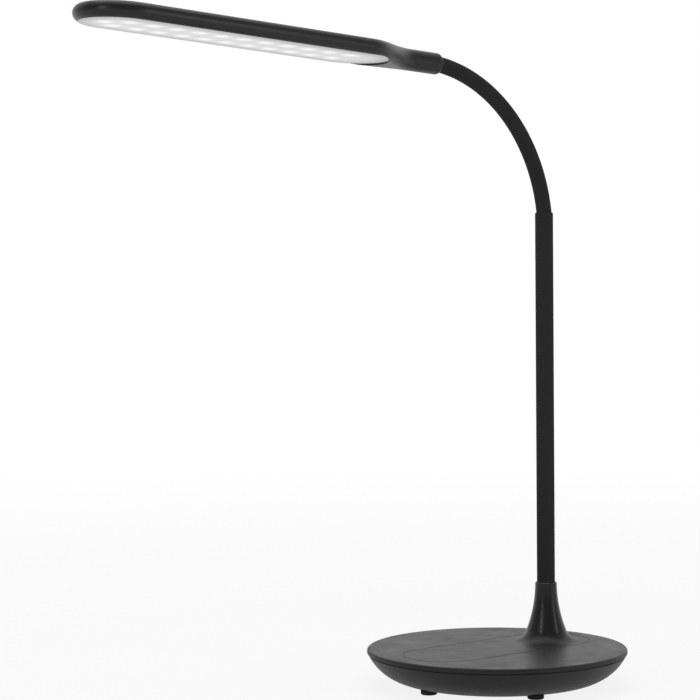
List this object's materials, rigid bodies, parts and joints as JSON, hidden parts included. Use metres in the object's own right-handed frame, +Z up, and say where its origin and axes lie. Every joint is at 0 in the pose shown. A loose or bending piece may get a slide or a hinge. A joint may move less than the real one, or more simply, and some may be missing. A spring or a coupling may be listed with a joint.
{
  "type": "gooseneck desk lamp",
  "caption": "Desk lamp with a slim flat lighting head on a flexible neck, a straight tubular stem and a round weighted base with an inset control panel.",
  "frame": {"origin": "centre of the round base on the desk plane, under the rubber feet, which meet the desk 1.8 mm below the bowl's flat underside", "axes": "+Z up along the stem, the stem stands at +X behind the base's centre and the head reaches towards -X, the lamp is symmetric about Y = 0"},
  "size_m": [0.3755, 0.16, 0.3979],
  "materials": {
    "shell": "satin",
    "bowl": "satin",
    "panel": "satin",
    "head_shell": "satin",
    "stem": "satin",
    "sleeve": "matte",
    "feet": "matte",
    "diffuser": "milky, lit from inside",
    "steel": "zinc plated",
    "brass": "nickel-free brass",
    "board": "printed circuit board",
    "white_board": "white printed circuit board",
    "parts": "electronic parts",
    "lights": "light sources",
    "wires": "wire insulation",
    "jack": "moulded"
  },
  "bodies": {
    "base": {"base_bowl": "bowl", "base_deck": "shell", "control_panel": "panel", "rubber_feet": "feet", "base_screws": "steel", "ballast_plate": "steel", "ballast_screws": "steel", "stem_bracket": "steel", "bracket_screws": "steel", "driver_board": "board", "board_standoffs": "brass", "board_screws": "steel", "driver_parts": "parts", "touch_board": "board", "dc_jack": "jack", "stem_tube": "stem", "root_ferrule": "brass", "neck_sleeve": "sleeve", "neck_wires": "wires"},
    "neck_01": {"neck_core_01": "steel"},
    "neck_02": {"neck_core_02": "steel"},
    "neck_03": {"neck_core_03": "steel"},
    "neck_04": {"neck_core_04": "steel"},
    "neck_05": {"neck_core_05": "steel"},
    "neck_06": {"neck_core_06": "steel"},
    "neck_07": {"neck_core_07": "steel"},
    "neck_08": {"neck_core_08": "steel"},
    "neck_09": {"neck_core_09": "steel"},
    "neck_10": {"neck_core_10": "steel"},
    "neck_11": {"neck_core_11": "steel"},
    "neck_12": {"neck_core_12": "steel"},
    "head": {"end_ferrule": "brass", "ferrule_nut": "steel", "head_housing": "head_shell", "neck_cover": "head_shell", "diffuser": "diffuser", "led_board": "white_board", "leds": "lights", "led_board_screws": "steel"}
  },
  "joints": [
    {"name": "neck_lower_bend", "type": "hinge", "parent": "base", "child": "neck_01", "pos_m": [0.04178, 0, 0.29216], "axis": [0, 1, 0], "range_deg": [-13.33, 10], "deforming": ["neck_sleeve", "neck_wires"]},
    {"name": "neck_lower_side", "type": "hinge", "parent": "neck_01", "child": "neck_02", "pos_m": [0.03968, 0, 0.3025], "axis": [0.9684, 0, 0.2493], "range_deg": [-11.67, 11.67]},
    {"name": "neck_lower_bend_2", "type": "hinge", "parent": "neck_02", "child": "neck_03", "pos_m": [0.03652, 0, 0.31258], "axis": [0, 1, 0], "range_deg": [-13.33, 10]},
    {"name": "neck_lower_side_2", "type": "hinge", "parent": "neck_03", "child": "neck_04", "pos_m": [0.03234, 0, 0.32227], "axis": [0.8965, 0, 0.4431], "range_deg": [-11.67, 11.67]},
    {"name": "neck_lower_bend_3", "type": "hinge", "parent": "neck_04", "child": "neck_05", "pos_m": [0.02718, 0, 0.33148], "axis": [0, 1, 0], "range_deg": [-13.33, 10]},
    {"name": "neck_lower_side_3", "type": "hinge", "parent": "neck_05", "child": "neck_06", "pos_m": [0.02109, 0, 0.34011], "axis": [0.7862, 0, 0.618], "range_deg": [-11.67, 11.67]},
    {"name": "neck_upper_bend", "type": "hinge", "parent": "neck_06", "child": "neck_07", "pos_m": [0.01415, 0, 0.34806], "axis": [0, 1, 0], "range_deg": [-10, 7.5]},
    {"name": "neck_upper_side", "type": "hinge", "parent": "neck_07", "child": "neck_08", "pos_m": [0.00642, 0, 0.35525], "axis": [0.6423, 0, 0.7664], "range_deg": [-11.67, 11.67]},
    {"name": "neck_upper_bend_2", "type": "hinge", "parent": "neck_08", "child": "neck_09", "pos_m": [-0.00201, 0, 0.36161], "axis": [0, 1, 0], "range_deg": [-10, 7.5]},
    {"name": "neck_upper_side_2", "type": "hinge", "parent": "neck_09", "child": "neck_10", "pos_m": [-0.01106, 0, 0.36706], "axis": [0.471, 0, 0.8821], "range_deg": [-11.67, 11.67]},
    {"name": "neck_upper_bend_3", "type": "hinge", "parent": "neck_10", "child": "neck_11", "pos_m": [-0.02061, 0, 0.37154], "axis": [0, 1, 0], "range_deg": [-10, 7.5]},
    {"name": "neck_upper_side_3", "type": "hinge", "parent": "neck_11", "child": "neck_12", "pos_m": [-0.03059, 0, 0.37501], "axis": [0.2796, 0, 0.9601], "range_deg": [-11.67, 11.67]},
    {"name": "neck_upper_bend_4", "type": "hinge", "parent": "neck_12", "child": "head", "pos_m": [-0.04086, 0, 0.37744], "axis": [0, 1, 0], "range_deg": [-10, 7.5]}
  ]
}
